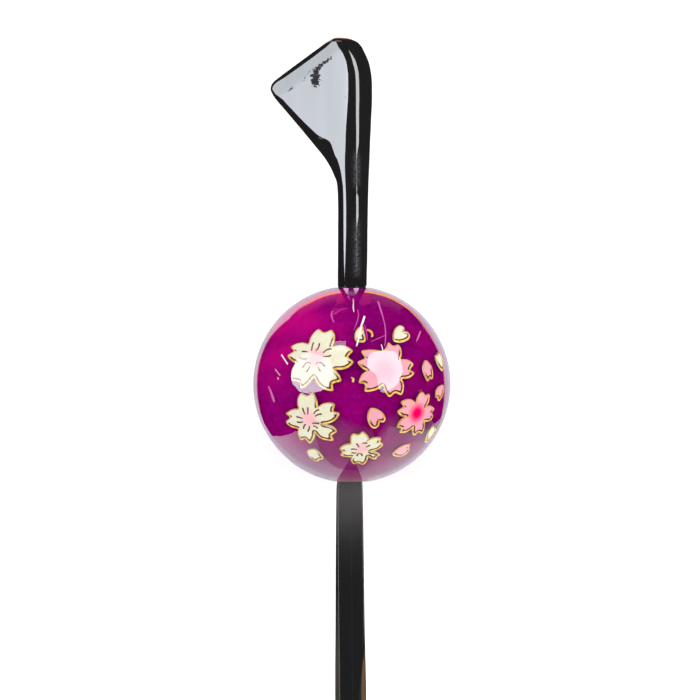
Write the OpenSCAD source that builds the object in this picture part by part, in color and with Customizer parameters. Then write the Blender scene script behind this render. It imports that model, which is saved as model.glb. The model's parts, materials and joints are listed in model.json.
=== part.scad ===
// A hair stick with one large bead: a moulded leg, neck and head, run through a coloured ball with a
// thin clear skin. Blossoms and loose petals are raised on the ball.
// It lies along Y with the head at +Y. The ball and the tip of the leg rest at z = 0.

/* [Bead] */
// Outer diameter of the ball, over its clear skin
bead_d = 20; // [19.6:0.1:22]
// Diameter of the coloured core inside the ball's clear skin
core_d = 18.6; // [17:0.1:18.8]
// Diameter of the hole drilled through the ball and its core
hole_d = 3.3; // [3.3:0.05:3.8]
// Clearance between the core and the shell around it
core_gap = 0.05; // [0.03:0.01:0.2]

/* [Blossoms] */
// Height of the raised petals over the ball
petal_rise = 0.13; // [0.1:0.01:0.2]
// Clearance between the petals and the ball
petal_gap = 0.03; // [0.02:0.01:0.05]
// Depth of the notch in a blossom's petals, as a share of the blossom's radius
notch_depth = 0.2; // [0.1:0.01:0.3]
// Distance from a blossom's middle to the clefts between its petals, as a share of its radius
cleft_reach = 0.5; // [0.4:0.01:0.6]
// Width of a loose petal, as a share of its length
petal_width = 0.92; // [0.7:0.01:1.1]

/* [Stick] */
// Length of the whole stick
stick_l = 170; // [150:1:180]
// Distance from the middle of the ball to the top of the head
head_reach = 35.3; // [34:0.1:37]
// Width of the neck across its flats
neck_w = 2.86; // [2.7:0.01:2.88]
// Largest width of the leg, which passes through the hole of the ball
leg_w = 3.15; // [3:0.05:3.15]
// Height of the leg's ridge over its middle
leg_top = 1.2; // [1:0.05:1.2]
// Depth of the leg's flat underside below its middle
leg_bottom = 1.12; // [0.9:0.02:1.12]
// Length of the slope under the tip, which lies flat on the surface
tip_slope_l = 11; // [9:0.5:14]
// Length of the rounded end of the tip
tip_round_l = 1.4; // [1:0.1:2]
// Width of the tip where its rounded end starts
tip_w = 2.1; // [1.6:0.1:2.6]
// Height of the tip over the stick's middle, where its rounded end starts
tip_top = 0.55; // [0.4:0.05:0.8]
// Reach of the leg's flat underside, as a share of its half width
leg_flat = 0.74; // [0.6:0.01:0.76]

/* [Head] */
// Reach of the flat blade to the left of the stick's middle
blade_reach = 8.35; // [7:0.05:9]
// Fall of the blade's faces towards its thin edge, for each millimetre of width
blade_fall = 0.149; // [0.12:0.001:0.155]
// Bulge of the spine's outer side at the top, past the neck's
spine_bulge = 0.56; // [0.3:0.01:0.8]

/* [Hidden] */

bead_r = bead_d / 2;
round_fn = 96;

// A blossom row: latitude from the ball's waist towards the head, longitude round the stick from
// straight up towards +X, radius, and turn of the first petal from the direction round the stick.
cream_rows = [
    [15.8, -13.5, 3.65, 13],
    [-20.8, -19.5, 3.05, 33],
    [-40.5, 14.5, 2.5, 39],
    [-14, 128, 3.3, 50],
    [27, 171, 2.9, 30],
    [4, -138, 3.2, 8],
];
pink_rows = [
    [10, 28, 3.2, 2],
    [-17, 50, 2.6, 8],
    [24, 119, 3.1, 20],
    [-36, 168, 2.6, 60],
];
// A loose petal row: latitude, longitude, length, and turn from its point to its notch.
cream_petal_rows = [
    [30.5, 14.5, 2, -95],
    [31, 42.5, 1.9, 55],
    [14, 73.5, 2.1, 100],
    [-29.5, 73, 2.1, 60],
    [-44.5, -25, 2.1, -30],
    [46, 146, 2.1, 20],
    [-40, 132, 2, 150],
    [24, -152, 2, -60],
];
pink_petal_rows = [
    [8.5, 58.5, 2.2, -80],
    [-4.5, 70.5, 1.9, -110],
    [-20, 22.5, 2.2, -45],
    [-41, 49, 2.2, 35],
    [4, 104, 2.1, 70],
    [6, 150, 2, -150],
    [-22, -158, 2.1, 110],
];
// Half of a blossom's petal, from its notch to the cleft: turn in degrees, share of the radius.
half_petal = [
    [0, 1 - notch_depth],
    [9, 1],
    [15, 0.95],
    [21, 0.86],
    [27, 0.73],
    [32, 0.6],
    [36, cleft_reach],
];
// Half of a loose petal, from its point to its notch: share of the length, share of half the width.
half_loose = [[0, 0], [0.2, 0.52], [0.42, 0.86], [0.66, 1], [0.86, 0.84], [1, 0.42], [0.84, 0]];

// The neck is a regular eight-sided bar. Its flats are neck_w apart and each is neck_flat wide.
neck_h = neck_w / 2;
neck_flat = neck_w * tan(22.5);
neck_x = 0.07;
neck_l = neck_x - neck_h;
neck_r = neck_x + neck_h;
roof_l = neck_x - neck_flat / 2;
roof_r = neck_x + neck_flat / 2;
border_l = (neck_l + roof_l) / 2;
spine_r = neck_r + spine_bulge;

// A row of the neck and head, all in stick coordinates with the ball's middle at 0:
// along, left side, inner line of the left edge, left and right line of the spine's flat,
// right side, half height of the spine, fall of the left face, half height of the right side.
head_rows = [
    [0, neck_l, border_l, roof_l, roof_r, neck_r, neck_h, 1, 0.6],
    [10.5, neck_l, border_l, roof_l, roof_r, neck_r, neck_h, 1, 0.6],
    [17.5, neck_l, border_l, roof_l, roof_r, neck_r + 0.08, neck_h, 1, 0.6],
    [19.6, neck_l - 0.05, border_l, roof_l, roof_r, neck_r + 0.12, neck_h, 0.9, 0.59],
    [20.6, neck_l - 0.16, border_l - 0.03, roof_l, roof_r, neck_r + 0.16, neck_h, 0.55, 0.58],
    [21.6, neck_l - 0.51, border_l - 0.3, roof_l, roof_r, neck_r + 0.2, neck_h, 0.25, 0.56],
    [22.4, neck_l - 0.96, border_l - 0.72, roof_l, roof_r, neck_r + 0.24, neck_h, 0.18, 0.55],
    [23.4, neck_l - 1.69, border_l - 1.44, roof_l, roof_r, neck_r + 0.28, neck_h, blade_fall, 0.53],
    [25.9, neck_l - 3.76, border_l - 3.53, roof_l, roof_r, neck_r + 0.38, neck_h, blade_fall, 0.5],
    [28.9, 0.66 - blade_reach, 1.3 - blade_reach, roof_l, roof_r, spine_r, neck_h, blade_fall, 0.46],
    [29.6, 0.18 - blade_reach, 0.75 - blade_reach, roof_l, roof_r, spine_r, neck_h, blade_fall, 0.46],
    [30.1, -blade_reach, 0.36 - blade_reach, roof_l, roof_r, spine_r, neck_h, blade_fall, 0.46],
    [30.6, 0.15 - blade_reach, 0.52 - blade_reach, roof_l, roof_r, spine_r, neck_h, blade_fall, 0.46],
    [31.4, -7.3, -6.92, roof_l, roof_r - 0.02, 1.98, neck_h, blade_fall, 0.46],
    [32.4, -5.92, -5.54, roof_l - 0.06, 0.42, 1.82, neck_h, blade_fall, 0.46],
    [33.4, -4.54, -4.16, -0.85, -0.1, 1.45, neck_h - 0.06, blade_fall, 0.45],
    [34.2, -3.43, -3.05, -1.25, -0.5, 1.1, neck_h - 0.2, blade_fall, 0.42],
    [34.8, -2.6, -2.25, -1.45, -0.85, 0.6, neck_h - 0.45, blade_fall, 0.36],
    [35.1, -2.15, -1.9, -1.5, -1, 0, neck_h - 0.72, blade_fall, 0.28],
    [head_reach, -1.6, -1.5, -1.35, -1.2, -0.8, neck_h - 1.1, blade_fall, 0.15],
];
// Height of the left side, as a share of the height at the inner line of its edge
edge_share = 0.6;

// The leg's slope under the tip lies on the surface, so the stick leans by the angle at which the
// slope's start and the ball touch one plane.
tip_y = head_reach - stick_l;
slope_y = tip_y + tip_slope_l;
tilt = asin(bead_r / norm([slope_y, leg_bottom])) - atan(leg_bottom / -slope_y);
round_y = tip_y + tip_round_l;
round_bottom = leg_bottom - (slope_y - round_y) * tan(tilt);

// A row of the leg: along, middle, half width, height of the ridge, depth of the underside.
leg_rows = concat(
    [
        [-9.5, -0.1, 1.32, leg_top + 0.06, leg_bottom - 0.02],
        [-14, -0.1, 1.38, leg_top + 0.04, leg_bottom],
        [-31, -0.1, leg_w / 2 - 0.07, leg_top, leg_bottom],
        [-50, 0, leg_w / 2, leg_top, leg_bottom],
        [-100, 0, leg_w / 2, leg_top - 0.05, leg_bottom],
        [slope_y, 0, leg_w / 2 - 0.08, leg_top - 0.1, leg_bottom],
        [round_y, 0, tip_w / 2, tip_top, round_bottom],
    ],
    [for (u = [0.35, 0.62, 0.82, 0.94, 0.99])
        let (q = sqrt(1 - u * u))
        [round_y - u * tip_round_l, 0, q * tip_w / 2, q * tip_top, q * round_bottom]]
);
// Reach of the leg's ridge from its middle, and places of its edges as shares of its half width
// and of its heights
ridge_x = 0.25;
ridge_w = 0.06;
shoulder_x = 0.8;
shoulder_h = 0.86;
side_up = 0.1;
side_down = 0.35;
flat_inner = 0.3;

// Twelve corners of the bar at one row of the neck or head, from the left side over the top
function head_ring(r) =
    let (
        border_h = r[6] - r[7] * (r[3] - r[2]),
        left_h = edge_share * border_h,
        right_border = (r[4] + r[5]) / 2,
        right_border_h = (r[6] + r[8]) / 2,
        top = [
            [r[1], left_h],
            [r[2], border_h],
            [r[3], r[6]],
            [r[4], r[6]],
            [right_border, right_border_h],
            [r[5], r[8]],
        ]
    )
    concat(
        [for (p = top) [p[0], r[0], p[1]]],
        [for (i = [5:-1:0]) [top[i][0], r[0], -top[i][1]]]
    );

// The same twelve corners at one row of the leg, which has a ridge on top and a flat underside
function leg_ring(r) =
    let (a = r[2], up = r[3], down = r[4], ridge = ridge_x * a / (leg_w / 2))
    [for (p = [
        [-a, side_up * up],
        [-shoulder_x * a, shoulder_h * up],
        [ridge - ridge_w / 2, up],
        [ridge + ridge_w / 2, up],
        [shoulder_x * a, shoulder_h * up],
        [a, side_up * up],
        [a, -side_down * down],
        [leg_flat * a, -down],
        [flat_inner * a, -down],
        [-flat_inner * a, -down],
        [-leg_flat * a, -down],
        [-a, -side_down * down],
    ]) [r[1] + p[0], r[0], p[1]]];

// A closed solid through rings of equal length
module loft(rings) {
    n = len(rings[0]);
    last = len(rings) - 1;
    polyhedron(
        points = [for (ring = rings) for (p = ring) p],
        faces = concat(
            [[for (i = [n - 1:-1:0]) i]],
            [for (k = [0:last - 1]) for (i = [0:n - 1])
                [k * n + i, k * n + (i + 1) % n, (k + 1) * n + i]],
            [for (k = [0:last - 1]) for (i = [0:n - 1])
                [k * n + (i + 1) % n, (k + 1) * n + (i + 1) % n, (k + 1) * n + i]],
            [[for (i = [0:n - 1]) last * n + i]]
        )
    );
}

// Stick coordinates run along the stick from the ball's middle. This lays them on the surface.
module lying() {
    translate([0, (stick_l / 2 - head_reach) * cos(tilt), bead_r]) rotate([tilt, 0, 0]) children();
}

module hole() {
    rotate([90, 0, 0]) cylinder(h = bead_d + 2, d = hole_d, center = true, $fn = round_fn);
}

module blossom_outline(radius) {
    points = [for (k = [0:4]) each concat(
        [for (i = [len(half_petal) - 1:-1:1]) [72 * k - half_petal[i][0], half_petal[i][1]]],
        [for (i = [0:len(half_petal) - 2]) [72 * k + half_petal[i][0], half_petal[i][1]]]
    )];
    polygon([for (p = points) radius * p[1] * [cos(p[0]), sin(p[0])]]);
}

module petal_outline(length) {
    half_w = length * petal_width / 2;
    steps = len(half_loose) - 1;
    polygon(concat(
        [for (i = [0:steps]) [(half_loose[i][0] - 0.5) * length, -half_loose[i][1] * half_w]],
        [for (i = [steps - 1:-1:1]) [(half_loose[i][0] - 0.5) * length, half_loose[i][1] * half_w]]
    ));
}

// Raises the outline in its children on the ball, at a row's latitude, longitude and turn
module on_ball(row) {
    depth = 1.5;
    intersection() {
        difference() {
            sphere(r = bead_r + petal_rise, $fn = round_fn);
            sphere(r = bead_r + petal_gap, $fn = round_fn);
        }
        rotate([0, row[1], 0]) rotate([-row[0], 0, 0]) rotate([0, 0, row[3]])
            translate([0, 0, bead_r - depth]) linear_extrude(height = 2 * depth) children();
    }
}

module hair_stick() {
    color([0.1, 0.1, 0.11]) lying()
        loft(concat(
            [for (i = [len(head_rows) - 1:-1:0]) head_ring(head_rows[i])],
            [for (row = leg_rows) leg_ring(row)]
        ));
}

module bead_shell() {
    color([0.88, 0.84, 0.93, 0.35]) lying()
        difference() {
            sphere(d = bead_d, $fn = round_fn);
            sphere(d = core_d + 2 * core_gap, $fn = round_fn);
            hole();
        }
}

module bead_core() {
    color([0.56, 0.01, 0.5]) lying()
        difference() {
            sphere(d = core_d, $fn = round_fn);
            hole();
        }
}

module cream_blossoms() {
    color([0.97, 0.94, 0.8]) lying() {
        for (row = cream_rows) on_ball(row) blossom_outline(row[2]);
        for (row = cream_petal_rows) on_ball(row) petal_outline(row[2]);
    }
}

module pink_blossoms() {
    color([0.95, 0.62, 0.7]) lying() {
        for (row = pink_rows) on_ball(row) blossom_outline(row[2]);
        for (row = pink_petal_rows) on_ball(row) petal_outline(row[2]);
    }
}

hair_stick();
bead_shell();
bead_core();
cream_blossoms();
pink_blossoms();
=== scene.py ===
# %% [markdown]
# A kanzashi is a hair stick with an ornament on it. This one is a black plastic moulding run through
# a clear ball, whose purple heart is printed over with blossoms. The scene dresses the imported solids:
# the stick, the ball, its core and the print are modelled again with fine edges, each in its own cell,
# and each new piece stands for the plain solid in the same place.
# %% Load the solids and note the box that they fill
import json
import math

import bmesh
import bpy
from mathutils import Matrix, Vector


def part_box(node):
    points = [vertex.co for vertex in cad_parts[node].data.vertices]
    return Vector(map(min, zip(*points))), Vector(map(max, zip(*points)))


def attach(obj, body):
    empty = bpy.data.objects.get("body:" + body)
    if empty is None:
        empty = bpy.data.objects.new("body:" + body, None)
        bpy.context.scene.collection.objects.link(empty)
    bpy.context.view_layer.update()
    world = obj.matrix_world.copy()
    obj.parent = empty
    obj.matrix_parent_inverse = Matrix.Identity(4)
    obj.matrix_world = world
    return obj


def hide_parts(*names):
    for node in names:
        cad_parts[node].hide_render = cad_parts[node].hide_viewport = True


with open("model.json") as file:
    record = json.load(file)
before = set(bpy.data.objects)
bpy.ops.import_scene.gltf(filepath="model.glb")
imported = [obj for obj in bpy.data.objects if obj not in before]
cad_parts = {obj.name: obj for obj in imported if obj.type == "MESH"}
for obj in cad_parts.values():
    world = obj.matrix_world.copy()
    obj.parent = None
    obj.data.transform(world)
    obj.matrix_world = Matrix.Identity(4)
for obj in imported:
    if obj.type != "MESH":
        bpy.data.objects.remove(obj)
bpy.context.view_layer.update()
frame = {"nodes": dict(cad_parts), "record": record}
print("solids:", ", ".join(sorted(frame["nodes"])))

# %% [markdown]
# The stick leans: its tip lies on the table and the ball holds the head up. All drawing is easier
# in the stick's own measures, in millimetres: x across it, y along it towards the head, z up, and 0
# in the middle of the ball. One matrix then lays everything down. The lean is read from the axis of
# the leg in the record, and the ball's place from its solid, so nothing is fitted by eye.
# %% Lay the stick's own measures on the table
MM = 0.001
BALL_R = 10.0
LENGTH = 170.0
HEAD_REACH = 35.3
TIP = HEAD_REACH - LENGTH

leg_axis = Vector(frame["record"]["mounts"][0]["axis"])
lean = math.atan2(-leg_axis.z, -leg_axis.y)
shell_low, shell_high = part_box("bead_shell")
ball_middle = Vector((0, (shell_low.y + shell_high.y) / 2, BALL_R * MM))
to_table = Matrix.Translation(ball_middle) @ Matrix.Rotation(lean, 4, "X") @ Matrix.Scale(MM, 4)
print(f"lean {math.degrees(lean):.2f} degrees, ball at y = {ball_middle.y / MM:.2f} mm")

# %% [markdown]
# Every piece is a list of corners and faces that a function works out. This helper turns the lists
# into a mesh, lays it on the table, shades it smooth and hides the solid that it stands for.
# Numbers that a finish needs later, such as how far a spot is from the edge of its petal, are kept
# on the corners as named attributes. The print is so thin that light can't tell it from the ball, so
# its pieces may ask to be shaded like the ball.
# %% A helper that makes a piece
def make_piece(name, corners, faces, material, slot, node=None, attributes=None, like_ball=False):
    mesh = bpy.data.meshes.new(name)
    mesh.from_pydata([to_table @ Vector(c) for c in corners], [], faces)
    mesh.polygons.foreach_set("use_smooth", [True] * len(mesh.polygons))
    for key, values in (attributes or {}).items():
        mesh.attributes.new(key, "FLOAT", "POINT").data.foreach_set("value", values)
    mesh.materials.append(material)
    mesh.validate()
    mesh.update()
    if like_ball:
        outward = [(vertex.co - ball_middle).normalized() for vertex in mesh.vertices]
        mesh.normals_split_custom_set_from_vertices(outward)
    solid = bmesh.new()
    solid.from_mesh(mesh)
    volume = solid.calc_volume(signed=True) / MM**3
    open_edges = sum(not edge.is_manifold for edge in solid.edges)
    solid.free()
    piece = bpy.data.objects.new(name, mesh)
    bpy.context.scene.collection.objects.link(piece)
    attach(piece, "root")
    if node:
        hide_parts(node)
    print(f"{name}: {len(faces)} faces, {volume:.2f} cubic mm, {open_edges} open edges")
    return piece


# %% [markdown]
# Finishes are easier to read as sums than as boxes and wires. The class below holds one output of a
# shader node. Adding, taking away or multiplying it puts in the Math node that does so, and the
# reflected forms let a plain number stand first, as in 1 - mask. The Math nodes and all others come
# from one function, which sets a node's choices before its inputs, because the choices decide which
# inputs there are.
# %% Shader sums and the function that adds a node
class Wire:
    def __init__(self, socket):
        self.socket = socket

    def math(self, operation, first, second):
        settings = {"operation": operation}
        return add_node(self.socket.id_data, "ShaderNodeMath", settings, {0: first, 1: second})

    def __add__(self, other):
        return self.math("ADD", self, other)

    __radd__ = __add__

    def __mul__(self, other):
        return self.math("MULTIPLY", self, other)

    def __sub__(self, other):
        return self.math("SUBTRACT", self, other)

    def __rsub__(self, other):
        return self.math("SUBTRACT", other, self)

    def above(self, start, end):
        """0 up to start, 1 past end, and a soft step between them."""
        settings = {"interpolation_type": "SMOOTHSTEP"}
        inputs = {"Value": self, "From Min": start, "From Max": end}
        return add_node(self.socket.id_data, "ShaderNodeMapRange", settings, inputs)

    def below(self, start, end):
        """1 up to start, 0 past end."""
        return 1 - self.above(start, end)


def add_node(tree, kind, settings=None, inputs=None, output=0):
    added = tree.nodes.new(kind)
    for key, value in (settings or {}).items():
        setattr(added, key, value)
    for key, value in (inputs or {}).items():
        if isinstance(value, Wire):
            tree.links.new(value.socket, added.inputs[key])
        else:
            added.inputs[key].default_value = value
    return Wire(added.outputs[output])


def mix(tree, amount, first, second):
    """The first colour where the amount is 0, the second where it is 1."""
    inputs = {0: amount}
    for socket, colour in ((6, first), (7, second)):
        inputs[socket] = colour if isinstance(colour, Wire) else (*colour, 1.0)
    return add_node(tree, "ShaderNodeMix", {"data_type": "RGBA"}, inputs, output=2)


def spots(tree, scale, stretch=(1, 1, 1), detail=3.0, rough=0.5, seed=0.0):
    """Soft random values round 0.5, in grains of about 1 / scale metres."""
    place = add_node(tree, "ShaderNodeTexCoord", output=3)
    moved = {"Vector": place, "Scale": stretch, "Location": (seed,) * 3}
    place = add_node(tree, "ShaderNodeMapping", None, moved)
    inputs = {"Vector": place, "Scale": scale, "Detail": detail, "Roughness": rough}
    return add_node(tree, "ShaderNodeTexNoise", None, inputs)


def attribute(tree, name):
    """Numbers that a piece keeps on its corners."""
    return add_node(tree, "ShaderNodeAttribute", {"attribute_name": name}, output=2)


def bump(tree, height, distance):
    """The normal of a surface whose height differs by up to a distance in metres."""
    inputs = {"Height": height, "Distance": distance, "Strength": 1.0}
    return add_node(tree, "ShaderNodeBump", None, inputs)


def new_finish(name):
    """An empty material's node tree, and a function that fills its one shader."""
    material = bpy.data.materials.new(name)
    material.use_nodes = True
    tree = material.node_tree
    shader = tree.nodes["Principled BSDF"]

    def dress(**inputs):
        for key, value in inputs.items():
            key = key.replace("_", " ")
            if isinstance(value, Wire):
                tree.links.new(value.socket, shader.inputs[key])
            else:
                shader.inputs[key].default_value = (*value, 1.0) if isinstance(value, tuple) else value
        return material

    return tree, dress


# %% [markdown]
# The stick is one moulding, so it is one skin. A loft through cross-sections is the way: the corners
# of twelve-sided sections are given at a few stations, worked out smoothly between them, and each
# corner is rounded by its own amount. A bevel modifier would round every edge alike, but here the
# spine's right edge is broad and round on the head and sharp on the neck, and that is what draws the
# long highlight of the photo. The helpers here find the numbers between stations and the faces
# between rows of corners. All other skins in this scene are made of such rows too.
# %% Numbers between stations and faces between rows
def smooth_between(stations, values, place):
    """The value at place, on a curve through the stations that never overshoots."""
    steps = [b - a for a, b in zip(stations, stations[1:])]
    slopes = [(b - a) / step for a, b, step in zip(values, values[1:], steps)]
    k = max(i for i in range(len(steps)) if i == 0 or stations[i] <= place)

    def slope_at(i):
        if i == 0 or i == len(steps):
            return slopes[min(i, len(slopes) - 1)]
        before, after = slopes[i - 1], slopes[i]
        return 0.0 if before * after <= 0 else 2 * before * after / (before + after)

    t = (place - stations[k]) / steps[k]
    start = (1 + 2 * t) * (1 - t) ** 2 * values[k] + t * t * (3 - 2 * t) * values[k + 1]
    return start + steps[k] * (t * (1 - t) ** 2 * slope_at(k) - t * t * (1 - t) * slope_at(k + 1))


def columns_at(columns, rows, place):
    """The value of each named column at a place, from a table whose first column is the place."""
    stations = [row[0] for row in rows]
    return {
        key: smooth_between(stations, [row[i] for row in rows], place)
        for i, key in enumerate(columns)
    }


def spread(start, end, step):
    """Places from start to end, about a step apart, but for the end itself."""
    count = max(1, round(abs(end - start) / step))
    return [start + (end - start) * i / count for i in range(count)]


def ramp(value, start, end):
    """0 up to start, 1 past end, and even between them."""
    return max(0.0, min(1.0, (value - start) / (end - start)))


def row_faces(rows, width, ring=True, loop=False, flipped=False, first=0):
    """Faces between neighbouring rows of corners, which are numbered from the first. In a ring, the
    last corner of a row joins its first one. In a loop, the last row joins the first one."""
    faces = []
    for row in range(rows if loop else rows - 1):
        a, b = first + row * width, first + (row + 1) % rows * width
        for i in range(width if ring else width - 1):
            j = (i + 1) % width
            faces.append((a + i, b + i, b + j, a + j) if flipped else (a + i, a + j, b + j, b + i))
    return faces


# %% [markdown]
# The head and neck. The neck is an eight-sided bar 2.86 mm thick. Towards the head its left side
# grows into a flat blade with a thin rounded edge, and its right side stays as a thick spine. A row
# gives the left edge and its half height, the border where the blade's slope starts to round off and
# how steeply the slope falls to it, the two ends of the flat roof with their roundings, the right
# edge and its half height, and the half height of the roof. The lower side mirrors the upper one,
# but for the spine's own side, which leans in a little, as a part from a mould does.
# %% Sections of the neck and head
BLADE_FALL = 0.149
HEAD_COLUMNS = (
    "along", "left", "left_h", "border", "fall", "roof_l", "round_l",
    "roof_r", "round_r", "right", "right_h", "top",
)
HEAD_ROWS = [
    (0, -1.36, 0.59, -1.0, 1.0, -0.52, 0.03, 0.66, 0.05, 1.5, 0.6, 1.43),
    (9.95, -1.36, 0.59, -1.0, 1.0, -0.52, 0.03, 0.66, 0.05, 1.5, 0.6, 1.43),
    (10.1, -1.39, 0.59, -1.02, 1.0, -0.55, 0.03, 0.66, 0.02, 1.61, 0.56, 1.43),
    (11.3, -1.39, 0.59, -1.02, 1.0, -0.57, 0.04, 0.66, 0.02, 1.63, 0.56, 1.43),
    (12.6, -1.38, 0.59, -1.02, 1.0, -0.6, 0.13, 0.66, 0.02, 1.67, 0.55, 1.43),
    (15.6, -1.37, 0.59, -1.04, 1.0, -0.62, 0.26, 0.66, 0.02, 1.7, 0.54, 1.43),
    (16.4, -1.37, 0.59, -1.04, 1.0, -0.62, 0.27, 0.65, 0.14, 1.71, 0.53, 1.43),
    (17.5, -1.36, 0.59, -1.04, 1.0, -0.62, 0.27, 0.59, 0.4, 1.73, 0.52, 1.43),
    (19.0, -1.38, 0.58, -1.0, 0.85, -0.61, 0.26, 0.59, 0.38, 1.76, 0.49, 1.43),
    (19.8, -1.42, 0.57, -0.94, 0.7, -0.6, 0.24, 0.65, 0.12, 1.78, 0.47, 1.43),
    (20.6, -1.52, 0.55, -0.88, 0.45, -0.58, 0.2, 0.66, 0.02, 1.8, 0.44, 1.43),
    (21.3, -1.8, 0.52, -0.93, 0.3, -0.56, 0.14, 0.66, 0.02, 1.83, 0.41, 1.43),
    (22.0, -2.12, 0.48, -1.04, 0.2, -0.54, 0.11, 0.66, 0.02, 1.86, 0.38, 1.43),
    (22.6, -2.47, 0.45, -1.22, 0.17, -0.52, 0.11, 0.66, 0.02, 1.89, 0.35, 1.43),
    (23.15, -2.85, 0.42, -1.46, BLADE_FALL, -0.5, 0.11, 0.65, 0.06, 1.91, 0.33, 1.43),
    (23.8, -3.37, 0.38, -1.64, BLADE_FALL, -0.47, 0.11, 0.64, 0.2, 1.93, 0.31, 1.43),
    (24.3, -3.79, 0.35, -1.85, BLADE_FALL, -0.45, 0.11, 0.63, 0.34, 1.95, 0.29, 1.43),
    (24.7, -4.12, 0.33, -2.2, BLADE_FALL, -0.44, 0.11, 0.62, 0.42, 1.96, 0.28, 1.43),
    (24.95, -4.33, 0.32, -2.65, BLADE_FALL, -0.43, 0.11, 0.62, 0.45, 1.97, 0.27, 1.43),
    (25.15, -4.5, 0.31, -3.15, BLADE_FALL, -0.43, 0.11, 0.62, 0.46, 1.98, 0.26, 1.43),
    (25.9, -5.12, 0.28, -4.02, BLADE_FALL, -0.4, 0.11, 0.61, 0.47, 2.02, 0.24, 1.43),
    (27.0, -6.06, 0.24, -5.14, BLADE_FALL, -0.33, 0.11, 0.6, 0.47, 2.07, 0.2, 1.43),
    (28.1, -7.0, 0.2, -6.14, BLADE_FALL, -0.26, 0.11, 0.6, 0.47, 2.13, 0.17, 1.43),
    (28.9, -7.69, 0.15, -6.9, BLADE_FALL, -0.2, 0.11, 0.6, 0.47, 2.16, 0.17, 1.43),
    (29.6, -8.17, 0.07, -7.84, BLADE_FALL, -0.18, 0.11, 0.6, 0.47, 2.16, 0.16, 1.43),
    (30.1, -8.35, 0.04, -8.06, BLADE_FALL, -0.17, 0.11, 0.6, 0.47, 2.16, 0.15, 1.43),
    (30.6, -8.2, 0.06, -7.78, BLADE_FALL, -0.17, 0.11, 0.6, 0.47, 2.15, 0.13, 1.43),
    (31.4, -7.3, 0.17, -6.5, BLADE_FALL, -0.18, 0.11, 0.58, 0.45, 2.09, 0.1, 1.43),
    (32.1, -6.34, 0.23, -5.5, BLADE_FALL, -0.27, 0.11, 0.5, 0.42, 1.97, 0.07, 1.425),
    (32.8, -5.37, 0.27, -4.53, BLADE_FALL, -0.42, 0.11, 0.35, 0.36, 1.79, 0.05, 1.4),
    (33.5, -4.4, 0.31, -3.55, BLADE_FALL, -0.7, 0.11, 0.08, 0.22, 1.49, 0.05, 1.36),
    (33.95, -3.78, 0.32, -2.95, BLADE_FALL, -1.0, 0.11, -0.16, 0.05, 1.26, 0.05, 1.32),
    (34.3, -3.29, 0.33, -2.5, BLADE_FALL, -1.25, 0.11, -0.4, 0.03, 1.08, 0.05, 1.28),
    (34.8, -2.6, 0.33, -1.98, BLADE_FALL, -1.45, 0.1, -0.85, 0.03, 0.62, 0.08, 1.22),
    (35.05, -2.22, 0.3, -1.82, BLADE_FALL, -1.52, 0.08, -1.05, 0.03, 0.12, 0.1, 1.1),
    (35.2, -1.92, 0.22, -1.68, BLADE_FALL, -1.5, 0.06, -1.12, 0.03, -0.35, 0.12, 0.85),
    (HEAD_REACH, -1.6, 0.12, -1.5, BLADE_FALL, -1.35, 0.02, -1.2, 0.02, -0.8, 0.12, 0.35),
]
UNDERCUT = 0.9


def head_section(along):
    """Twelve corners and their roundings, from the left side over the top and back below."""
    at = columns_at(HEAD_COLUMNS, HEAD_ROWS, along)
    border_h = at["top"] - at["fall"] * (at["roof_l"] - at["border"])
    right_border = (at["roof_r"] + at["right"]) / 2
    upper = [
        (at["left"], at["left_h"], 0.16),
        (at["border"], border_h, 0.14),
        (at["roof_l"], at["top"], at["round_l"]),
        (at["roof_r"], at["top"], at["round_r"]),
        (right_border, (at["top"] + at["right_h"]) / 2, 0.1),
        (at["right"], at["right_h"], 0.2),
    ]
    lower = [(x * UNDERCUT if x > right_border else x, -z, reach) for x, z, reach in reversed(upper)]
    return upper + lower


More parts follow.
